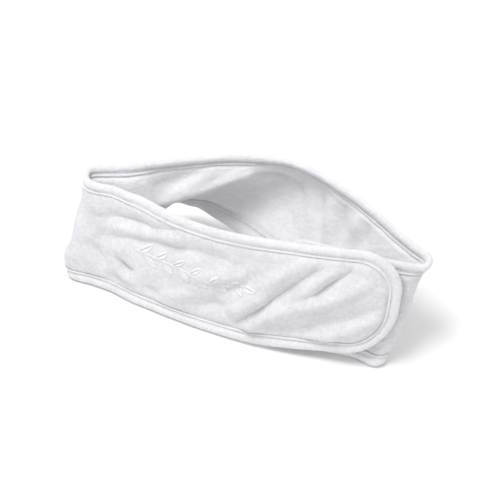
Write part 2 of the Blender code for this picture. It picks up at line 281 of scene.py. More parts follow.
# Wrinkles: height outwards and half-width in mm, and the line each one follows.
WRINKLES = [
    (-3.4, 5.5, [(247, 60), (241, 58), (234, 54)]),
    (-4.9, 4.5, [(232, 63), (215, 66), (194, 68), (178, 75)]),
    (3.2, 4.5, [(231, 53), (207, 61), (189, 67), (173, 70)]),
    (-4.0, 5.5, [(236, 45), (217, 52), (185, 60), (160, 64), (136, 65)]),
    (-5.4, 3.6, [(220, 31), (213, 27), (208, 27)]),
    (3.2, 4.0, [(216, 21), (206, 20)]),
    (-3.2, 5.0, [(248, 36), (240, 32), (232, 25)]),
    (2.6, 6.0, [(254, 48), (251, 34), (243, 21)]),
    (-2.6, 4.5, [(228, 14), (214, 14)]),
    (-2.6, 4.5, [(194, 18), (184, 18)]),
    (3.2, 5.0, [(176, 21), (156, 31)]),
    (-3.8, 5.0, [(150, 22), (138, 27), (126, 22)]),
    (3.2, 5.0, [(160, 44), (140, 50), (122, 56)]),
    (-2.9, 5.0, [(134, 38), (120, 46), (108, 56)]),
    (3.8, 4.5, [(130, 22), (116, 31), (104, 40)]),
    (-4.7, 4.2, [(119, 16), (110, 24), (101, 32), (93, 41), (84, 50), (76, 59), (66, 67)]),
    (3.1, 4.2, [(98, 54), (88, 63), (80, 70)]),
    (4.5, 4.8, [(108, 15), (96, 25), (84, 33), (68, 40), (58, 43), (45, 49), (36, 55), (27, 62)]),
    (3.4, 3.8, [(74, 47), (63, 58), (53, 69)]),
    (-3.8, 3.8, [(62, 50), (51, 61), (41, 69)]),
    (-3.6, 6.5, [(92, 17), (80, 17), (66, 20), (53, 26), (36, 32), (20, 40)]),
    (2.9, 4.2, [(64, 11), (47, 16), (33, 23), (18, 32)]),
    (4.6, 3.6, [(402, 66), (412, 63), (422, 60)]),
    (-2.6, 4.2, [(412, 73), (424, 70), (432, 65)]),
    (2.8, 4.2, [(434, 57), (442, 50)]),
    (2.6, 4.6, [(457, 68), (464, 52), (471, 38)]),
    (-2.6, 4.2, [(468, 66), (474, 52), (482, 38)]),
    (2.6, 4.6, [(479, 70), (486, 56), (492, 44)]),
    (-2.2, 4.2, [(492, 70), (498, 56)]),
    (2.2, 4.6, [(504, 72), (510, 56)]),
    (2.0, 7.0, [(352, 74), (340, 68), (326, 66)]),
    (-1.6, 5.0, [(366, 72), (350, 64), (338, 58)]),
]


# Where the whole strip, hems and all, lies off its guide lines: how far it is moved right,
# deeper and up, and the half-width and line of the place.
SHIFTS = [
    ((-5.0, 0.0, 0.0), 8.0, [(260, 11), (259, 20)]),
    ((2.5, 0.0, 0.0), 12.0, [(262, 66), (263, 88)]),
    ((0.0, 0.0, -4.0), 15.0, [(244, 88), (228, 88)]),
    ((0.6, 3.0, 0.0), 16.0, [(250, -4), (228, -4)]),
]


def plain_strip():
    s = np.arange(-2 * CELL, LENGTH + 2.5 * CELL, CELL)
    w = np.linspace(0, WIDTH, int(round(WIDTH / CELL)) + 1)
    return s, w, guide_grid(s, w)


def blur(values, sigma, axis):
    """Gaussian smoothing along one axis, with the ends carried on straight."""
    reach = int(3 * sigma) + 1
    kernel = np.exp(-0.5 * (np.arange(-reach, reach + 1) / sigma)**2)
    v = np.moveaxis(values, axis, 0)
    steps = np.arange(reach, 0, -1)
    v = np.concatenate([2 * v[:1] - v[steps], v, 2 * v[-1:] - v[-1 - steps[::-1]]])
    n = len(v) - 2 * reach
    out = sum(k * v[i:i + n] for i, k in enumerate(kernel / kernel.sum()))
    return np.moveaxis(out, 0, axis)


def rolled_strip(s, w, plain):
    """The strip with the roll in its rear stretch.

    Across the roll the cloth runs from the upper edge to the ridge, sagging a little, turns
    over, and bows back on its way down to the lower edge.
    """
    tuck = between(TUCK_STARTS, TUCK_ENDS, s)[:, None, None]
    plain = plain + tuck * (1 - smoothstep(*TUCK_FADES, w))[None, :, None] * LOWER_TUCK
    spots = np.array([place for place, _ in ROLL], float)
    target = np.array([x * VIEW_RIGHT + y * VIEW_DEEP + [0, 0, z] for _, (x, y, z) in ROLL])
    ridge = np.stack([np.interp(s, spots[:, 0], target[:, k]) for k in range(3)], -1)[:, None]
    ridge_w = np.interp(s, spots[:, 0], spots[:, 1])[:, None, None]
    low, high = plain[:, :1], plain[:, -1:]
    ww = w[None, :, None]
    above = np.clip((ww - ridge_w) / (WIDTH - ridge_w), 0, 1)
    below = np.clip(ww / ridge_w, 0, 1)
    drop = ridge - low
    chord = np.linalg.norm(drop, axis=-1, keepdims=True)
    bow = np.sqrt(3 * chord * np.clip(ridge_w - chord, 0.8, 9.0) / 8)
    back = VIEW_DEEP - unit(drop) * (unit(drop) @ VIEW_DEEP)[..., None]
    sag = VIEW_DEEP * ROLL_SAG
    p = np.where(ww > ridge_w, ridge + (high - ridge) * above + sag * 4 * above * (1 - above),
                 low + drop * below + unit(back) * bow * 4 * below * (1 - below))
    amount = between(ROLL_STARTS, ROLL_ENDS, s)
    move = blur(p - plain, ROLL_BLUR[1] / (w[1] - w[0]), 1) * amount[:, None, None]
    move = blur(move, ROLL_BLUR[0] / (s[1] - s[0]), 0)
    keep = between((0, HEM_KEPT), (WIDTH - HEM_KEPT, WIDTH), w)
    return plain + move * keep[None, :, None]


def stroke(s, w, line, half_width, taper=0.0):
    """Closeness, from 0 to 1, of places to a line drawn on the strip.

    With a taper, the line fades by that share towards its two ends.
    """
    points = np.array(line, float)
    lengths = np.linalg.norm(np.diff(points, axis=0), axis=1)
    best, at = np.full(s.shape, 1e9), np.zeros(s.shape)
    for a, b, before in zip(points[:-1], points[1:], np.cumsum(lengths) - lengths):
        d = b - a
        t = np.clip(((s - a[0]) * d[0] + (w - a[1]) * d[1]) / (d @ d), 0, 1)
        away = np.hypot(s - a[0] - t * d[0], w - a[1] - t * d[1])
        at = np.where(away < best, (before + t * np.linalg.norm(d)) / lengths.sum(), at)
        best = np.minimum(best, away)
    return np.exp(-(best / half_width)**2) * (1 - taper + taper * np.sin(math.pi * at))


def settled(s, w, whole):
    """The wrinkled strip after a short cloth simulation, with its hems and folds held."""
    on_strip = (s >= 0) & (s <= LENGTH)
    p = whole[on_strip]
    ss, ww = np.meshgrid(s[on_strip], w, indexing="ij")
    away = np.minimum(np.abs(ss - crease(0, ww)), np.abs(ss - crease(1, ww)))
    free = smoothstep(*HELD_HEM, inset(ss, ww)) * smoothstep(*HELD_FOLD, away)
    n, m = ss.shape
    i, j = np.meshgrid(np.arange(n - 1), np.arange(m - 1), indexing="ij")
    corner = (i * m + j).reshape(-1)
    quads = np.stack([corner, corner + m, corner + m + 1, corner + 1], -1)
    mesh = bpy.data.meshes.new("cloth")
    mesh.from_pydata((p.reshape(-1, 3) * MM).tolist(), [], quads.tolist())
    cloth_object = linked("cloth", mesh)
    held = cloth_object.vertex_groups.new(name="held")
    for index, weight in enumerate(1 - free.ravel()):
        if weight > 0:
            held.add([index], float(weight), "REPLACE")
    cloth = cloth_object.modifiers.new("cloth", "CLOTH")
    cloth.settings.quality = 6
    cloth.settings.mass = 0.0015
    cloth.settings.tension_stiffness = 12.0
    cloth.settings.compression_stiffness = 12.0
    cloth.settings.shear_stiffness = 6.0
    cloth.settings.bending_stiffness = 2.0
    cloth.settings.shrink_min = -SLACK
    cloth.settings.vertex_group_mass = "held"
    cloth.settings.effector_weights.gravity = 0.0
    cloth.collision_settings.use_collision = False
    cloth.collision_settings.use_self_collision = False
    cloth.point_cache.frame_end = CLOTH_FRAMES
    for frame_number in range(1, CLOTH_FRAMES + 1):
        bpy.context.scene.frame_set(frame_number)
    shown = cloth_object.evaluated_get(bpy.context.evaluated_depsgraph_get()).to_mesh()
    out = np.empty(n * m * 3, np.float32)
    shown.vertices.foreach_get("co", out)
    bpy.data.objects.remove(cloth_object)
    bpy.context.scene.frame_set(1)
    move = out.reshape(n, m, 3) / MM - p
    move = blur(blur(move, CLOTH_BLUR, 0), CLOTH_BLUR, 1)
    size = np.maximum(np.linalg.norm(move, axis=-1, keepdims=True), 1e-6)
    move *= CLOTH_CAP * np.tanh(size / CLOTH_CAP) / size * free[..., None]
    whole = whole.copy()
    whole[on_strip] += move
    return whole


WRINKLE_TAPER = 0.45        # how much a wrinkle fades towards its two ends
DRAPE_HEIGHT = 0.9
LAP_HEIGHT = 1.8            # how far the lap stands out over the end under it
EDGE_FADE = (6, 14)         # how far from an edge wrinkles have faded, and are still full
OUTLINE_FADE = (4, 14)
LAP_ENDS = (125, 105)       # where it starts to stand out, and where it does so fully
DRAPE = Noise(21, 30.0)


def wrinkled(s, w, p):
    """The strip with its wrinkles pressed in along its normals, then shifted where it is."""
    ss, ww = np.meshgrid(s, w, indexing="ij")
    height = np.zeros_like(ss)
    for h, half_width, line in WRINKLES:
        height += h * stroke(ss, ww, line, half_width, WRINKLE_TAPER)
    from_edge = np.minimum(ww, WIDTH - ww)
    off_hem = smoothstep(*EDGE_FADE, from_edge) * smoothstep(*OUTLINE_FADE, inset(ss, ww))
    height *= off_hem
    height += LAP_HEIGHT * smoothstep(*LAP_ENDS, ss) * off_hem
    height += DRAPE_HEIGHT * DRAPE(ss, ww) * off_hem
    normal = unit(np.cross(np.gradient(p, axis=1), np.gradient(p, axis=0)))
    p = p + normal * height[..., None]
    for (right, deep, up), half_width, line in SHIFTS:
        move = right * VIEW_RIGHT + deep * VIEW_DEEP + np.array([0, 0, up])
        p = p + stroke(ss, ww, line, half_width)[..., None] * move
    return p


S_LINE, W_LINE, PLAIN = plain_strip()
ROLLED = rolled_strip(S_LINE, W_LINE, PLAIN)
SHAPE = wrinkled(S_LINE, W_LINE, ROLLED)
SHAPE = settled(S_LINE, W_LINE, SHAPE)
STRIP = Strip(S_LINE, W_LINE, SHAPE)


# ---- meshes ---------------------------------------------------------------------------


def tube(name, rings, uv, ghosts, material):
    """A closed mesh through rings of points that each run out along one face and back.

    ghosts says whether the first and last ring lie past a cut: they only steady the
    shading there, and aren't part of the mesh.
    """
    first, last = int(ghosts[0]), len(rings) - int(ghosts[1])
    along = np.gradient(rings, axis=0)
    around = (np.roll(rings, -1, axis=1) - np.roll(rings, 1, axis=1)) / 2
    normals = unit(np.cross(around, along))[first:last]
    rings, uv = rings[first:last], uv[first:last]
    n, k = rings.shape[:2]
    points = rings.reshape(-1, 3)
    normals = normals.reshape(-1, 3)
    i, j = np.meshgrid(np.arange(n - 1), np.arange(k), indexing="ij")
    a, b = i * k + j, i * k + (j + 1) % k
    sides = np.stack([a, b, b + k, a + k], -1).reshape(-1, 4)
    h = np.arange(k // 2 - 1)
    cap = np.stack([h, k - 1 - h, k - 2 - h, h + 1], -1)
    end = (n - 1) * k
    quads = np.concatenate([sides, cap, cap[:, ::-1] + end])
    mesh = bpy.data.meshes.new(name)
    mesh.vertices.add(len(points))
    mesh.vertices.foreach_set("co", points.ravel())
    mesh.loops.add(quads.size)
    mesh.loops.foreach_set("vertex_index", quads.ravel().astype(np.int32))
    mesh.polygons.add(len(quads))
    mesh.polygons.foreach_set("loop_start", np.arange(0, quads.size, 4, dtype=np.int32))
    mesh.polygons.foreach_set("loop_total", np.full(len(quads), 4, dtype=np.int32))
    layer = mesh.uv_layers.new(name="strip")
    layer.data.foreach_set("uv", uv.reshape(-1, 2)[quads.ravel()].ravel().astype(np.float32))
    mesh.update()
    mesh.validate()
    mesh.shade_smooth()
    loop_normals = normals[quads.ravel()]
    caps = points[quads[len(sides):]]
    face = unit(np.cross(caps[:, 2] - caps[:, 0], caps[:, 3] - caps[:, 1]))
    loop_normals[sides.size:] = np.repeat(face, 4, axis=0)
    mesh.normals_split_custom_set(loop_normals.tolist())
    mesh.materials.append(material)
    return linked(name, mesh)


# The hem's section, as (inset, lift): its outer skin, then its inner one.
PROFILE_OUT = [(0.0, 0.0), (0.12, 0.75), (0.5, 1.45), (1.2, 2.1), (2.2, 2.55), (3.4, 2.7), (4.6, 2.55),
               (5.6, 2.05), (6.4, 1.35), (7.0, 1.02), (7.6, 1.15), (8.2, 1.7), (8.8, 1.85),
               (9.4, 1.55), (9.6, 1.0)]
PROFILE_IN = [(1.3, 0.0), (1.35, 0.2), (1.5, 0.36), (1.8, 0.48), (2.3, 0.55), (3.0, 0.6), (4.0, 0.61),
              (5.0, 0.61), (6.0, 0.62), (6.8, 0.62), (7.4, 0.63), (8.0, 0.64), (8.6, 0.65),
              (9.2, 0.67), (9.5, 0.72)]


def hem_profile():
    """The hem's section as a ring of (inset, lift), outer skin first, then the inner."""
    outer, inner = (smooth_line([np.array(q) for q in line], 2) for line in (PROFILE_OUT, PROFILE_IN))
    flip = np.array([1, -1])
    outside = np.concatenate([outer[:0:-1] * flip, outer])
    inside = np.concatenate([inner[:0:-1] * flip, inner])
    return np.concatenate([outside, inside[::-1]])


HEM = hem_profile()
HEM_GROOVE = 1.02           # how far the stitched groove stands out from the middle surface
UPPER_HEM_UV = 120.0        # how far the upper hem's pile pattern is from the lower one's


def straight_edge(start, end, side, step=1.3):
    """Places along an edge with the direction inwards; side is 0 for the lower edge."""
    n = max(2, int(abs(end - start) / step))
    s = np.linspace(start, end, n + 1)
    s = np.concatenate([[2 * s[0] - s[1]], s, [2 * s[-1] - s[-2]]])
    w = np.full(len(s), WIDTH * side)
    inward = np.tile([0.0, 1.0 - 2 * side], (len(s), 1))
    return np.stack([s, w], -1), inward


def end_edge(cut, end_s, corner, step=1.3):
    """Places round a rounded end from the cut on the lower edge to the one above it."""
    d = 1 if cut > end_s else -1
    low, low_in = straight_edge(cut, end_s + d * corner, 0, step)
    low, low_in = low[:-2], low_in[:-2]
    count = int(corner * math.pi / 2 / step)
    angle = np.linspace(0, math.pi / 2, count + 1)
    c = np.array([end_s + d * corner, corner])
    out = np.stack([-d * np.sin(angle), -np.cos(angle)], -1)
    arc, arc_in = c + corner * out, -out
    flat = int((WIDTH - 2 * corner) / step)
    run = np.stack([np.full(flat - 1, float(end_s)),
                    np.linspace(corner, WIDTH - corner, flat + 1)[1:-1]], -1)
    run_in = np.tile([float(d), 0.0], (len(run), 1))
    half = np.concatenate([low, arc]), np.concatenate([low_in, arc_in])
    top = half[0][::-1] * [1, -1] + [0, WIDTH]
    top_in = half[1][::-1] * [1, -1]
    return np.concatenate([half[0], run, top]), np.concatenate([half[1], run_in, top_in])


PUCKER = Noise(11, 9.0)
FINE_PUCKER = Noise(12, 3.2)
PILE = Noise(13, 1.5)
SOFT = Noise(14, 6.0)
BODY = Noise(15, 17.0)


def path_length(places):
    return np.concatenate([[0.0], np.cumsum(np.linalg.norm(np.diff(places, axis=0), axis=1))])


def hem_swell(s, w, side):
    """How much a hem's roll swells and shrinks, in mm."""
    swell = 0.16 * PUCKER(s, w + 300 * side) + 0.13 * FINE_PUCKER(s, w + 90 * side)
    return swell + 0.06 * PILE(s, w + 50 * side)


def hem(name, edge, material):
    """A turned hem along an edge: a rounded skin that holds the panels' edges."""
    places, inward = edge
    u, lift = HEM[:, 0][None, :], HEM[:, 1][None, :]
    s = places[:, :1] + inward[:, :1] * u
    w = places[:, 1:] + inward[:, 1:] * u
    outer = smoothstep(1.15, 1.6, np.abs(lift))
    side = np.sign(lift)
    rings = STRIP.lifted(s, w, lift + side * outer * hem_swell(s, w, side))
    uv = np.stack(np.broadcast_arrays(
        path_length(places)[:, None] + places[0, 0],
        path_length(HEM)[None, :] + UPPER_HEM_UV * (places[0, 1] > 1)), -1)
    return tube(name, rings[:, ::-1], uv[:, ::-1], (True, True), material)


PANEL_EDGE = 3.0            # how deep a panel's edge lies in the hem
PANEL_ROWS = 72
PANEL_THIN = 0.55           # how far a panel's face stands out under its hem
PANEL_LOFT = 1.3            # and how much further inside it
LINING_UV = 200.0           # how far the lining's pile pattern is from the outer panel's
BACK_UV = 400.0             # how far a sheet's back is from its face


def columns(start, end, end_corner=0.0, step=1.25):
    """Lengths of a panel's columns from an outline's end, or a cut, to a cut."""
    d = 1 if end > start else -1
    if not end_corner:
        n = int(abs(end - start) / step)
        s = np.linspace(start, end, n + 1)
        return np.concatenate([[2 * s[0] - s[1]], s, [2 * s[-1] - s[-2]]])
    r = end_corner - PANEL_EDGE
    angle = np.linspace(0, math.pi / 2, int(r * math.pi / 2 / step) + 1)
    arc = start + d * (PANEL_EDGE + r * (1 - np.cos(angle)))
    n = int(abs(end - arc[-1]) / step)
    run = np.linspace(arc[-1], end, n + 1)[1:]
    return np.concatenate([arc, run, [2 * run[-1] - run[-2]]])


def panel_top(s, w, side):
    """How far a panel's pile stands from the middle surface, in mm."""
    loft = 0.35 * BODY(s, w + 200 * side) + 0.22 * SOFT(s, w + 100 * side)
    loft = loft + 0.13 * FINE_PUCKER(s, w + 60 * side) + 0.07 * PILE(s, w + 30 * side)
    if side > 0:
        loft = loft - 0.25 * pressed(s, w)
    return PANEL_THIN + smoothstep(9.2, 13.0, inset(s, w)) * (PANEL_LOFT + loft)


def corner_cut(r, from_end):
    """How much a rounded corner of radius r takes off the width, that far from the end."""
    return r - np.sqrt(np.maximum(r**2 - np.maximum(r - np.maximum(from_end, 0), 0)**2, 0))


def two_faced(name, face, back, uv, side, ghosts, material):
    """A thin sheet's mesh, from its face and its back."""
    rings = np.concatenate([face, back[:, ::-1]], axis=1)
    uv = np.concatenate([uv, uv[:, ::-1] + [0, BACK_UV]], axis=1)
    if side > 0:
        rings, uv = rings[:, ::-1], uv[:, ::-1]
    return tube(name, rings, uv, ghosts, material)


def panel(name, s_line, side, material, ghosts=(True, True)):
    """One sheet of towelling; side is +1 for the outer one and -1 for the lining."""
    r = np.where(s_line < LENGTH / 2, TAB_CORNER, TUCKED_CORNER) - PANEL_EDGE
    from_end = np.minimum(s_line, LENGTH - s_line) - PANEL_EDGE
    short = corner_cut(r, from_end)
    t = np.linspace(0, 1, PANEL_ROWS)
    low, high = PANEL_EDGE + short, WIDTH - PANEL_EDGE - short
    w = low[:, None] + (high - low)[:, None] * t[None, :]
    s = np.repeat(s_line[:, None], PANEL_ROWS, axis=1)
    face = STRIP.lifted(s, w, side * panel_top(s, w, side))
    back = STRIP.lifted(s, w, side * (0.05 + 0.05 * smoothstep(9.0, 13.5, inset(s, w))))
    uv = np.stack([s, w + LINING_UV * (side < 0)], -1)
    return two_faced(name, face, back, uv, side, ghosts, material)


# ---- threads, embroidery and tapes -----------------------------------------------------


def threads(name, centres, up, radii, material, sides=6):
    """Many short threads as closed tubes: centres and up are (threads, points, 3)."""
    ahead = unit(np.gradient(centres, axis=1))
    across_thread = unit(np.cross(ahead, up))
    over = np.cross(across_thread, ahead)
    turn = np.linspace(0, 2 * math.pi, sides, endpoint=False)[None, None, :, None]
    rings = (centres[:, :, None] + radii[:, :, None, None]
             * (np.cos(turn) * over[:, :, None] - np.sin(turn) * across_thread[:, :, None]))
    n, m = rings.shape[:2]
    i, j = np.meshgrid(np.arange(m - 1), np.arange(sides), indexing="ij")
    a, b = i * sides + j, i * sides + (j + 1) % sides
    quads = np.stack([a, b, b + sides, a + sides], -1).reshape(-1, 4)
    h = np.arange(sides // 2 - 1)
    cap = np.stack([h, sides - 1 - h, sides - 2 - h, h + 1], -1)
    quads = np.concatenate([quads, cap, cap[:, ::-1] + (m - 1) * sides])
    quads = (quads[None] + (np.arange(n) * m * sides)[:, None, None]).reshape(-1, 4)
    length = np.concatenate([np.zeros((n, 1)), np.cumsum(np.linalg.norm(
        np.diff(centres, axis=1), axis=-1), axis=1)], 1) / MM + 3.7 * np.arange(n)[:, None]
    uv = np.stack(np.broadcast_arrays(length[:, :, None], turn[..., 0] / (2 * math.pi)), -1)
    mesh = bpy.data.meshes.new(name)
    mesh.from_pydata(rings.reshape(-1, 3).tolist(), [], quads[:, ::-1].tolist())
    layer = mesh.uv_layers.new(name="strip")
    layer.data.foreach_set("uv", uv.reshape(-1, 2)[quads[:, ::-1].ravel()].ravel().astype(np.float32))
    mesh.shade_smooth()
    mesh.materials.append(material)
    return linked(name, mesh)


STITCH = 2.7                # length of one stitch, and the gap to the next
STITCH_GAP = 0.7
STITCH_INSET = 7.0
STITCH_LIFT = 0.2           # how far a stitch's middle stands out of the groove
STITCH_DIVE = 0.75          # how far its ends go down into the cloth
THREAD_RADIUS = 0.27
TAPE_THREAD_RADIUS = 0.2
SATIN_RADIUS = 0.24
HOOK_RADIUS = 0.13


def stitches(name, edge, material):
    """Rows of stitches in the hem's groove, on both faces of the strip."""
    places, inward = (part[1:-1] for part in edge)
    line = places + inward * STITCH_INSET
    length = path_length(line)
    pitch = STITCH + STITCH_GAP
    count = int((length[-1] - STITCH_GAP) / pitch)
    starts = (length[-1] - count * pitch + STITCH_GAP) / 2 + pitch * np.arange(count)
    t = np.linspace(0, 1, 6)
    at = starts[:, None] + STITCH * t[None, :]
    s, w = (np.interp(at, length, line[:, k]) for k in (0, 1))
    dive = STITCH_DIVE * (2 * t - 1)**4
    centres, ups = [], []
    for side in (1, -1):
        swell = hem_swell(s, w, side) if side > 0 else 0.0
        lift = HEM_GROOVE + swell + STITCH_LIFT - dive
        centres.append(STRIP.lifted(s, w, side * lift))
        ups.append(STRIP.at(s, w)[1] * side)
    radii = THREAD_RADIUS * MM * np.tile([0.6, 0.95, 1.0, 1.0, 0.95, 0.6], (2 * count, 1))
    return threads(name, np.concatenate(centres), np.concatenate(ups), radii, material)


MOTIF_START = 207.0
MOTIF_LENGTH = 100.0
MOTIF_HEIGHT = 46.0
STEM_WIDTH = 1.6
STEM_WAVE = 1.6             # how far the stem swings to each side
STEM_HEIGHT = 0.55          # how far the satin threads stand up
LEAF_HEIGHT = 0.75
SATIN_PITCH = 0.42
LEAF_LENGTH = 12.0
LEAF_WIDTH = 5.0
LEAF_PAIRS = 6
LEAF_ANGLE = math.radians(38)


def stem_at(x):
    return np.array([x, STEM_WAVE * math.sin(2 * math.pi * x / MOTIF_LENGTH)])


def sprig_leaves():
    """Each leaf's foot, direction and length, on the flat sprig."""
    spacing = (MOTIF_LENGTH - LEAF_LENGTH) / LEAF_PAIRS
    leaves = [(stem_at(4.0 + (k + shift) * spacing), side * LEAF_ANGLE,
               LEAF_LENGTH * (1.0 - 0.05 * k))
              for k in range(LEAF_PAIRS) for side, shift in ((1, 0.0), (-1, 0.4))]
    return leaves + [(stem_at(MOTIF_LENGTH - LEAF_LENGTH), 0.0, LEAF_LENGTH)]


def pressed(s, w):
    """Closeness to the sprig, whose stitching presses the pile down."""
    stem = [(MOTIF_START - x, MOTIF_HEIGHT + stem_at(x)[1]) for x in np.linspace(0, MOTIF_LENGTH, 12)]
    near = stroke(s, w, stem, 3.0)
    for foot, angle, length in sprig_leaves():
        tip = foot + length * np.array([math.cos(angle), math.sin(angle)])
        ends = [(MOTIF_START - q[0], MOTIF_HEIGHT + q[1]) for q in (foot, tip)]
        near = np.maximum(near, stroke(s, w, ends, 3.4))
    return near


def sprig_threads():
    """Satin threads of the sprig on its plane: both ends of each, and how far it stands up."""
    out = []
    for x in np.arange(0.3, MOTIF_LENGTH - LEAF_LENGTH + 1.0, SATIN_PITCH):
        middle, slant = stem_at(x), np.array([0.45, 1.0]) * STEM_WIDTH / 2
        out.append((middle - slant, middle + slant, STEM_HEIGHT))
    for foot, angle, length in sprig_leaves():
        forward = np.array([math.cos(angle), math.sin(angle)])
        sideways = np.array([-math.sin(angle), math.cos(angle)])
        for f in np.arange(0.04, 0.985, SATIN_PITCH / length):
            half = 0.5 * LEAF_WIDTH * math.sin(math.pi * f**0.8) * (length / LEAF_LENGTH)
            rib = foot + forward * length * f
            lead = forward * min(2.2, length * (1 - f))
            for side in (-1, 1):
                out.append((rib + sideways * side * 0.1, rib + lead + sideways * side * half,
                            LEAF_HEIGHT))
    return out


def sprig(material):
    """The raised satin-stitch sprig, thread by thread."""
    rows = sprig_threads()
    t = np.linspace(0, 1, 5)[None, :, None]
    ends = np.array([(a, b) for a, b, _ in rows])
    height = np.array([h for _, _, h in rows])[:, None]
    flat = ends[:, :1] * (1 - t) + ends[:, 1:] * t
    s, w = MOTIF_START - flat[..., 0], MOTIF_HEIGHT + flat[..., 1]
    arch = 1 - (2 * t[..., 0] - 1)**2
    lift = panel_top(s, w, 1) - 0.15 + height * arch
    centres = STRIP.lifted(s, w, lift)
    radii = SATIN_RADIUS * MM * np.ones(centres.shape[:2])
    return threads("sprig_embroidery", centres, STRIP.at(s, w)[1], radii, material)


TAPE_CORNER = 3.0
TAPE_SEAM = 2.2             # how far inside a tape's edge its stitching runs
TAPE_STITCH = 2.3
TAPE_PITCH = 2.9
PATCH_INSET = 20.0
HOOK_TAPE = (20.0, 30.0)    # where a tape starts along the strip, and its length
LOOP_TAPE = (LENGTH - 84.0, 66.0)
HOOK_THICKNESS = 0.45
LOOP_THICKNESS = 0.8
HOOK_PITCH = 1.5
HOOK_HEIGHT = 0.75


def tape(name, where, side, thickness, rough, material):
    """A patch of tape with rounded corners and a bound edge, on one face of the strip."""
    start, length = where
    angle = np.linspace(0, math.pi / 2, 6)
    run = np.linspace(start + TAPE_CORNER, start + length - TAPE_CORNER,
                      int((length - 2 * TAPE_CORNER) / 0.8) + 1)
    s_line = np.concatenate([start + TAPE_CORNER * (1 - np.cos(angle[:-1])), run,
                             start + length - TAPE_CORNER * (1 - np.cos(angle[:-1][::-1]))])
    from_end = np.minimum(s_line - start, start + length - s_line)
    short = corner_cut(TAPE_CORNER, from_end)
    t = np.linspace(0, 1, 60)
    low, high = PATCH_INSET + short, WIDTH - PATCH_INSET - short
    w = low[:, None] + (high - low)[:, None] * t[None, :]
    s = np.repeat(s_line[:, None], len(t), axis=1)
    edge = np.minimum(np.minimum(w - low[:, None], high[:, None] - w), from_end[:, None])
    base = panel_top(s, w, side)
    top = base + thickness * (0.35 + 0.65 * smoothstep(0, 0.9, edge))
    top = top - 0.3 * np.exp(-((edge - TAPE_SEAM) / 0.5)**2) + rough * PILE(s * 1.7, w * 1.7)
    face, back = STRIP.lifted(s, w, side * top), STRIP.lifted(s, w, side * (base - 0.25))
    return two_faced(name, face, back, np.stack([s, w], -1), side, (False, False), material)


def tape_border(name, where, side, thickness, material):
    """A row of stitches that holds a tape down, just inside its edge."""
    start, length = where
    left, right = start + TAPE_SEAM, start + length - TAPE_SEAM
    low, high = PATCH_INSET + TAPE_SEAM, WIDTH - PATCH_INSET - TAPE_SEAM
    line = np.array([(left, low), (right, low), (right, high), (left, high), (left, low)])
    along = path_length(line)
    t = np.linspace(0, 1, 5)
    at = np.arange(0.4, along[-1] - 2.4, TAPE_PITCH)[:, None] + TAPE_STITCH * t[None, :]
    s, w = (np.interp(at, along, line[:, k]) for k in (0, 1))
    lift = panel_top(s, w, side) + thickness - 0.12 - 0.6 * (2 * t - 1)**4
    radii = TAPE_THREAD_RADIUS * MM * np.ones(s.shape)
    return threads(name, STRIP.lifted(s, w, side * lift), STRIP.at(s, w)[1] * side, radii, material)


def hooks(name, where, side, thickness, material):
    """The hooks of hook tape: short bent bristles in rows."""
    start, length = where
    s, w = np.meshgrid(
        np.arange(start + 4, start + length - 3.5, HOOK_PITCH),
        np.arange(PATCH_INSET + 4, WIDTH - PATCH_INSET - 3.5, HOOK_PITCH), indexing="ij")
    s = (s + HOOK_PITCH / 2 * (np.arange(s.shape[1]) % 2)[None, :]).reshape(-1, 1)
    w = w.reshape(-1, 1)
    bend = np.array([0.0, 0.02, 0.12, 0.4, 0.62])[None, :]
    rise = np.array([-0.1, 0.3, 0.62, 0.72, 0.5])[None, :]
    places = s + bend * np.where(np.arange(len(s)) % 2, 1, -1)[:, None], w + 0 * bend
    lift = panel_top(*places, side) + thickness + HOOK_HEIGHT * rise
    radii = HOOK_RADIUS * MM * np.tile([1.0, 0.95, 0.9, 0.8, 0.6], (len(s), 1))
    up = np.roll(STRIP.at(*places)[1], 1, axis=-1)
    return threads(name, STRIP.lifted(*places, side * lift), up, radii, material, sides=4)


# ---- materials ------------------------------------------------------------------------


def set_values(target, **values):
    """Set a node's own settings, or else its inputs, by name."""
    for key, value in values.items():
        if hasattr(target, key):
            setattr(target, key, value)
        else:
            target.inputs[key.replace("_", " ")].default_value = value


def node(tree, kind, **values):
    made = tree.nodes.new(kind)
    set_values(made, **values)
    return made


def new_material(name):
    """A material with its node tree, its shader and the strip's own coordinates."""
    material = bpy.data.materials.new(name)
    material.use_nodes = True
    tree = material.node_tree
    return material, tree, tree.nodes["Principled BSDF"], node(tree, "ShaderNodeUVMap", uv_map="strip")


def weighted(tree, value, factor, plus):
    """A node that gives value * factor + plus."""
    made = node(tree, "ShaderNodeMath", operation="MULTIPLY_ADD")
    made.inputs[1].default_value = factor
    tree.links.new(value.outputs[0], made.inputs[0])
    tree.links.new(plus.outputs[0], made.inputs[2])
    return made


def tone(tree, shader, value, low, high):
    """Colour the shader by a value; low and high are each (position, colour)."""
    ramp = node(tree, "ShaderNodeValToRGB")
    for element, (position, colour) in zip(ramp.color_ramp.elements, (low, high)):
        element.position = position
        element.color = (*colour, 1)
    tree.links.new(value.outputs[0], ramp.inputs["Fac"])
    tree.links.new(ramp.outputs["Color"], shader.inputs["Base Color"])


def emboss(tree, shader, strength, depth):
    """Give the shader a relief, and return the input that its height goes into."""
    relief = node(tree, "ShaderNodeBump", Strength=strength, Distance=depth)
    tree.links.new(relief.outputs["Normal"], shader.inputs["Normal"])
    return relief.inputs["Height"]


PILE_MM = 0.8               # sizes of towelling's piles, of their clumps, and of broader patches
CLUMP_MM = 3.2
PATCH_MM = 14.0


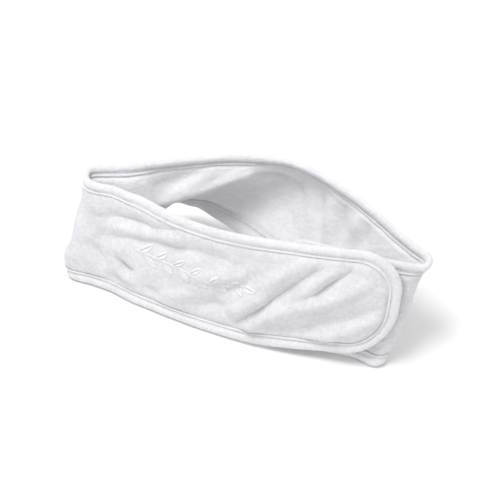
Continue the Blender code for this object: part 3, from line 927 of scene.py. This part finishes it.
def terry_material(name, colour, shade, bump, pile_mm=PILE_MM):
    """Towelling: noise of two sizes as relief, and of three as tone, darker where the relief is low:
    painted shade in the hollows between piles and clumps, and random broader patches.
    """
    material, tree, shader, uv = new_material(name)
    pile, clump, patch = (
        node(tree, "ShaderNodeTexNoise", Scale=1 / size, Detail=detail, Roughness=roughness)
        for size, detail, roughness in ((pile_mm, 2.0, 0.6), (CLUMP_MM, 3.0, 0.6), (PATCH_MM, 2.0, 0.5)))
    for texture in (pile, clump, patch):
        tree.links.new(uv.outputs["UV"], texture.inputs["Vector"])
    relief = weighted(tree, clump, 1.2, pile)
    total = weighted(tree, patch, 0.8, relief)
    mean = node(tree, "ShaderNodeMath", operation="MULTIPLY")
    mean.inputs[1].default_value = 1 / 3.0
    tree.links.new(total.outputs[0], mean.inputs[0])
    # painted shade: the colour darkens where the relief is low, in the hollows between piles and clumps;
    # the broad patches are random tone
    tone(tree, shader, mean, (0.36, shade), (0.62, colour))
    tree.links.new(relief.outputs[0], emboss(tree, shader, bump, 0.0007))
    set_values(shader, Roughness=0.95, Sheen_Weight=0.35, Sheen_Roughness=0.5,
               Specular_IOR_Level=0.2)
    return material


# The lining's towelling is coloured lighter than the outer panel's to offset the shade inside the loop,
# and the outer panel's darker to offset the light on it: painted light and shade.
TERRY = terry_material("terry_pile", (0.80, 0.80, 0.823), (0.63, 0.63, 0.66), 0.8)
LIGHTENED_LINING = terry_material("lining_pile_painted_lighter", (0.91, 0.91, 0.93), (0.80, 0.80, 0.83), 0.7)
BINDING = terry_material("hem_pile", (0.83, 0.83, 0.85), (0.69, 0.69, 0.715), 0.7)


def thread_material(name, colour, roughness, twist):
    """Twisted thread: plies as a fine slanted relief along each stitch."""
    material, tree, shader, uv = new_material(name)
    ply = node(tree, "ShaderNodeTexWave", wave_type="BANDS", bands_direction="DIAGONAL",
               Scale=twist, Distortion=0.6, Detail=1.0)
    blotch = node(tree, "ShaderNodeTexNoise", Scale=0.35, Detail=2.0)
    for texture in (ply, blotch):
        tree.links.new(uv.outputs["UV"], texture.inputs["Vector"])
    tone(tree, shader, blotch, (0.3, [0.92 * c for c in colour]), (0.7, colour))
    tree.links.new(ply.outputs["Fac"], emboss(tree, shader, 0.5, 0.00008))
    set_values(shader, Roughness=roughness, Sheen_Weight=0.3, Anisotropic=0.5)
    return material


COTTON = thread_material("cotton_thread", (0.80, 0.80, 0.82), 0.75, 1.4)
SATIN = thread_material("satin_thread", (0.86, 0.86, 0.88), 0.38, 1.1)
HOOK_CLOTH = terry_material("hook_tape_weave", (0.70, 0.70, 0.73), (0.60, 0.60, 0.63), 0.35, 0.3)
HOOK_NYLON = thread_material("hook_nylon", (0.78, 0.78, 0.80), 0.3, 0.5)
LOOP_CLOTH = terry_material("loop_tape_pile", (0.78, 0.78, 0.80), (0.68, 0.68, 0.71), 0.8, 0.4)


# ---- assembly -------------------------------------------------------------------------


def bend_tab(obj):
    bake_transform(obj)


def bend_left(obj):
    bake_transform(obj)


def bend_right(obj):
    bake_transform(obj)


def build_panels():
    for side, kind, material, slot in ((1, "outer_panel", TERRY, "terry"),
                                       (-1, "lining_panel", LIGHTENED_LINING, "lining")):
        tab = panel("tab_" + kind, columns(0.0, CUT_FRONT, TAB_CORNER), side, material,
                    ghosts=(False, True))
        left = panel("left_" + kind, columns(CUT_FRONT, CUT_REAR), side, material)
        right = panel("right_" + kind, columns(LENGTH, CUT_REAR, TUCKED_CORNER)[::-1], side,
                      material, ghosts=(True, False))
        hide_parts("closure_tab_" + kind)
        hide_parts("front_" + kind)
        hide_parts("rear_" + kind, "tucked_end_" + kind)
        for obj, bend in ((tab, bend_tab), (left, bend_left), (right, bend_right)):
            bend(obj)


def build_hems():
    """The turned hems, and the rows of stitching that hold them."""
    runs = [
        ("tab", end_edge(CUT_FRONT, 0.0, TAB_CORNER), bend_tab,
         ["closure_tab_binding"], ["closure_tab_topstitch"]),
        ("left_lower", straight_edge(CUT_FRONT, CUT_REAR, 0), bend_left,
         ["front_lower_binding"], ["front_lower_topstitch"]),
        ("left_upper", straight_edge(CUT_FRONT, CUT_REAR, 1), bend_left,
         ["front_upper_binding"], ["front_upper_topstitch"]),
        ("right", end_edge(CUT_REAR, LENGTH, TUCKED_CORNER), bend_right,
         ["rear_lower_binding", "rear_upper_binding", "tucked_end_binding"],
         ["rear_lower_topstitch", "rear_upper_topstitch", "tucked_end_topstitch"]),
    ]
    for name, edge, bend, bindings, topstitches in runs:
        skin = hem(name + "_hem", edge, BINDING)
        row = stitches(name + "_stitching", edge, COTTON)
        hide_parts(*bindings)
        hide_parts(*topstitches)
        bend(skin)
        bend(row)


def build_tapes():
    """The closure's hook and loop tapes, each sewn down round its edge."""
    hook = tape("hook_tape", HOOK_TAPE, -1, HOOK_THICKNESS, 0.03, HOOK_CLOTH)
    bristles = hooks("hook_tape_hooks", HOOK_TAPE, -1, HOOK_THICKNESS, HOOK_NYLON)
    hook_border = tape_border("hook_tape_stitching", HOOK_TAPE, -1, HOOK_THICKNESS, COTTON)
    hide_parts("hook_patch")
    for obj, slot in ((hook, "hook_tape"), (bristles, "hook_tape"), (hook_border, "cotton_thread")):
        bend_tab(obj)
    loop = tape("loop_tape", LOOP_TAPE, 1, LOOP_THICKNESS, 0.14, LOOP_CLOTH)
    loop_border = tape_border("loop_tape_stitching", LOOP_TAPE, 1, LOOP_THICKNESS, COTTON)
    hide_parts("loop_patch")
    for obj, slot in ((loop, "loop_tape"), (loop_border, "cotton_thread")):
        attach(obj, "tucked_end")


def build_sprig():
    motif = sprig(SATIN)
    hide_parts("embroidered_motif")
    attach(motif, "front")


build_panels()
build_hems()
build_tapes()
build_sprig()


# ---- camera, light and floor ----------------------------------------------------------


CAMERA_BEARING = math.radians(21.2)
CAMERA_TILT = math.radians(45.0)
CAMERA_TARGET = Vector((-0.0201, 0.0367, -0.0007))
VIEW_ACROSS = 0.377         # how much the camera sees across at its target, in metres
LENS = 300.0
SENSOR = 36.0
FLOOR_HALF = 3.0
FLOOR_COLOUR = (0.92, 0.92, 0.92, 1)
KEY_PLACE = Vector((-0.35, -0.33, 1.75))
KEY_SIZE = 0.85
KEY_POWER = 17.8
WORLD_STRENGTH = 0.80


def aim(obj, place, direction):
    obj.location = place
    obj.rotation_mode = "QUATERNION"
    obj.rotation_quaternion = direction.to_track_quat("-Z", "Y")


def build_camera():
    back = Vector((math.sin(CAMERA_BEARING) * math.cos(CAMERA_TILT),
                   -math.cos(CAMERA_BEARING) * math.cos(CAMERA_TILT), math.sin(CAMERA_TILT)))
    camera = linked("camera", bpy.data.cameras.new("camera"))
    camera.data.lens = LENS
    camera.data.sensor_width = SENSOR
    camera.data.clip_end = 50.0
    aim(camera, CAMERA_TARGET + back * (VIEW_ACROSS * LENS / SENSOR), -back)
    bpy.context.scene.camera = camera


def build_floor():
    h = FLOOR_HALF
    mesh = bpy.data.meshes.new("floor")
    mesh.from_pydata([(-h, -h, 0), (h, -h, 0), (h, h, 0), (-h, h, 0)], [], [(0, 1, 2, 3)])
    floor = linked("floor", mesh)
    material = bpy.data.materials.new("floor")
    material.use_nodes = True
    set_values(material.node_tree.nodes["Principled BSDF"], Base_Color=FLOOR_COLOUR,
               Roughness=1.0, Specular_IOR_Level=0.0)
    mesh.materials.append(material)


def build_light():
    key = bpy.data.lights.new("key", "AREA")
    key.shape = "DISK"
    key.size = KEY_SIZE
    key.energy = KEY_POWER
    aim(linked("key", key), KEY_PLACE, -KEY_PLACE)
    world = bpy.data.worlds.new("studio")
    world.use_nodes = True
    set_values(world.node_tree.nodes["Background"], Color=(1, 1, 1, 1), Strength=WORLD_STRENGTH)
    bpy.context.scene.world = world
    bpy.context.scene.view_settings.view_transform = "Standard"


build_camera()
build_floor()
build_light()
